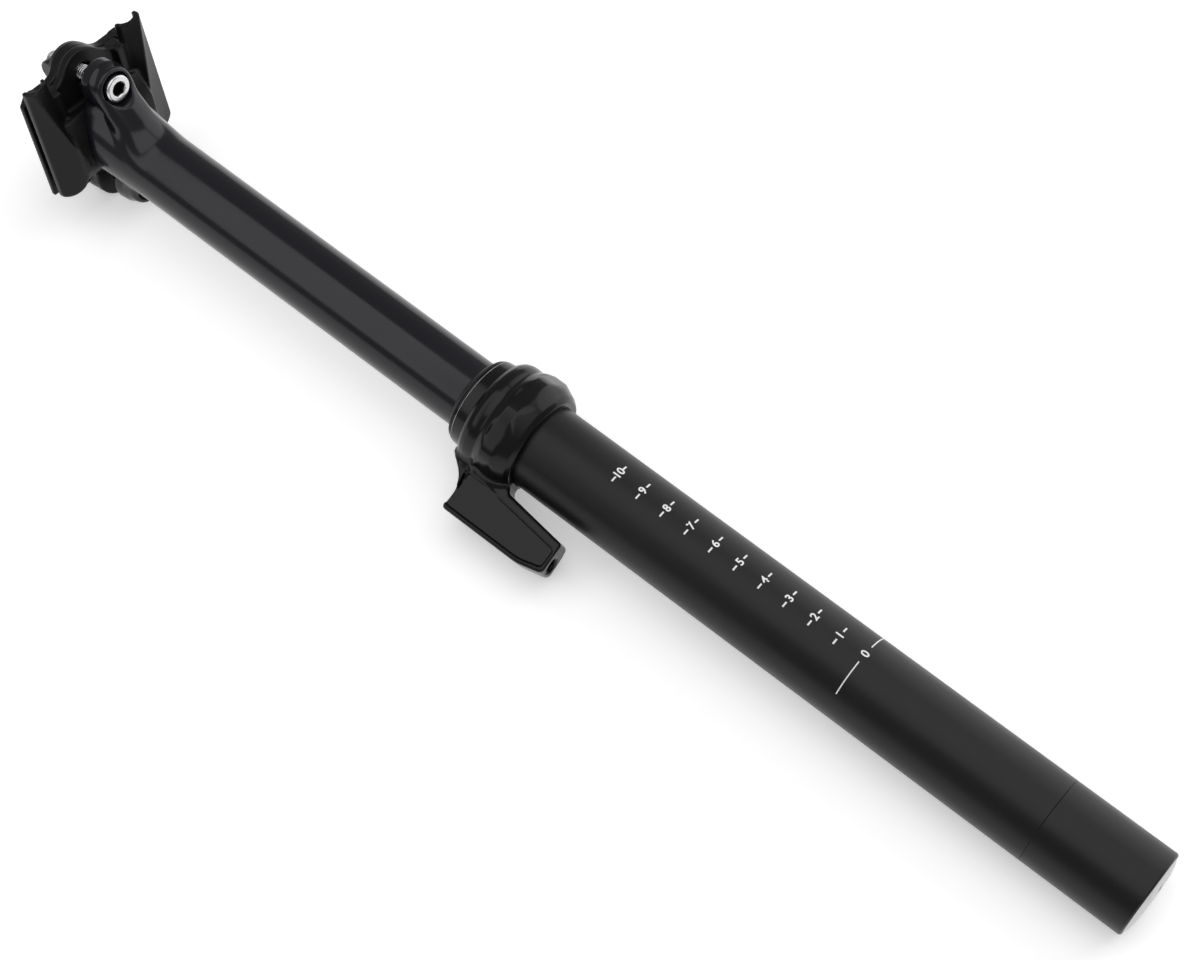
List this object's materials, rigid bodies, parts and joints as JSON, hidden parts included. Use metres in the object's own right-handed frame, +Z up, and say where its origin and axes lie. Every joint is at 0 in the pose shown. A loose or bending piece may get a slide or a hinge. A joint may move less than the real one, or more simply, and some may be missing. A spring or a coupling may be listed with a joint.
{
  "type": "dropper seatpost",
  "caption": "Telescoping bicycle seatpost with a cable-worked collar arm, a gas cartridge inside and a two-bolt clamp for saddle rails.",
  "frame": {"origin": "centre of the outer tube's bottom end face", "axes": "+Z up the post, +X to the front of the saddle, +Y to the side of the cable arm"},
  "size_m": [0.0652, 0.0622, 0.4747],
  "materials": {
    "satin_anodised": "satin black anodised tube",
    "gloss_anodised": "fine black anodised, low gloss",
    "collar_black": "turned and black anodised, glossier",
    "forged_black": "forged, blasted and black anodised",
    "bare_aluminium": "machined",
    "rubber": "matte",
    "bushing_plastic": "matte bearing plastic",
    "brass": "machined brass",
    "steel": "plated steel",
    "steel_black": "black oxide steel"
  },
  "bodies": {
    "outer": {"outer_tube": "satin_anodised", "bottom_cap": "satin_anodised", "end_plug": "bare_aluminium", "collar_housing": "collar_black", "collar_oring": "rubber", "arm_cover": "collar_black", "cable_stop": "bare_aluminium", "seal_retainer": "collar_black", "upper_bushing": "bushing_plastic", "wiper_seal": "rubber", "lever_pin": "steel", "actuator_base": "bare_aluminium", "rocker_pin": "steel", "cartridge_rod": "steel", "rod_nut": "steel", "bottom_bumper": "rubber", "piston": "bare_aluminium", "piston_seal": "rubber"},
    "post": {"inner_post": "gloss_anodised", "lower_bushing": "bushing_plastic", "guide_keys": "brass", "cartridge_cylinder": "bare_aluminium", "cartridge_gland": "bare_aluminium", "rod_seal": "rubber", "cartridge_locknut": "bare_aluminium", "gas_cap": "bare_aluminium", "bolt_washers": "steel"},
    "float": {"floating_piston": "bare_aluminium", "float_seal": "rubber"},
    "lever": {"release_lever": "bare_aluminium"},
    "barrel": {"cable_barrel": "brass", "barrel_screw": "steel"},
    "strip": {"pull_strip": "steel"},
    "rocker": {"rocker": "steel"},
    "valve": {"valve_pin": "steel", "valve_spring": "steel"},
    "clamp": {"lower_cradle": "forged_black", "upper_clamp": "forged_black"},
    "rear_bolt": {"rear_bolt": "steel"},
    "front_bolt": {"front_bolt": "steel"},
    "rear_nut": {"rear_barrel_nut": "steel_black"},
    "front_nut": {"front_barrel_nut": "steel_black"}
  },
  "joints": [
    {"name": "post_slide", "type": "slide", "parent": "outer", "child": "post", "axis": [0, 0, 1], "range_m": [-0.14, 0], "stiffness_N_per_m": 700, "springref_m": 0.36},
    {"name": "float_slide", "type": "slide", "parent": "post", "child": "float", "axis": [0, 0, 1], "range_m": [0, 0.03888]},
    {"name": "lever_pivot", "type": "hinge", "parent": "outer", "child": "lever", "pos_m": [0.00986, 0.02022, 0.253], "axis": [-0.8988, 0.4384, 0], "range_deg": [0, 16], "stiffness_Nm_per_rad": 0.6, "springref_deg": -11.46},
    {"name": "barrel_swivel", "type": "hinge", "parent": "lever", "child": "barrel", "pos_m": [0.01316, 0.02699, 0.25406], "axis": [-0.8988, 0.4384, 0], "range_deg": [-16.01, 0]},
    {"name": "strip_pull", "type": "slide", "parent": "outer", "child": "strip", "axis": [0, 0, 1], "range_m": [0, 0.0024]},
    {"name": "rocker_pivot", "type": "hinge", "parent": "outer", "child": "rocker", "pos_m": [-0.00395, -0.00809, 0.016], "axis": [0.8988, -0.4384, 0], "range_deg": [0, 6.35]},
    {"name": "valve_lift", "type": "slide", "parent": "outer", "child": "valve", "axis": [0, 0, 1], "range_m": [0, 0.001], "deforming": ["valve_spring"]},
    {"name": "saddle_tilt", "type": "hinge", "parent": "post", "child": "clamp", "pos_m": [0.00359, 0, 0.46147], "axis": [0, 1, 0], "range_deg": [-6, 6]},
    {"name": "rear_nut_swivel", "type": "hinge", "parent": "clamp", "child": "rear_nut", "pos_m": [-0.01751, 0, 0.46768], "axis": [0, 1, 0], "range_deg": [-6.01, 6.01]},
    {"name": "front_nut_swivel", "type": "hinge", "parent": "clamp", "child": "front_nut", "pos_m": [0.0247, 0, 0.45526], "axis": [0, 1, 0], "range_deg": [-6.01, 6.01]},
    {"name": "rear_bolt_turn", "type": "hinge", "parent": "post", "child": "rear_bolt", "pos_m": [-0.02539, 0, 0.44091], "axis": [0.2823, 0, 0.9593], "continuous": true},
    {"name": "front_bolt_turn", "type": "hinge", "parent": "post", "child": "front_bolt", "pos_m": [0.01682, 0, 0.42849], "axis": [0.2823, 0, 0.9593], "continuous": true}
  ],
  "couplings": [
    {"joint": "float_slide", "follows": "post_slide", "ratio": -0.27701},
    {"joint": "barrel_swivel", "follows": "lever_pivot", "ratio": -1},
    {"joint": "strip_pull", "follows": "lever_pivot", "m_per_rad": 0.0086},
    {"joint": "rocker_pivot", "follows": "lever_pivot", "ratio": 0.39631},
    {"joint": "valve_lift", "follows": "lever_pivot", "m_per_rad": 0.0035668},
    {"joint": "rear_nut_swivel", "follows": "saddle_tilt", "ratio": -1},
    {"joint": "front_nut_swivel", "follows": "saddle_tilt", "ratio": -1}
  ]
}
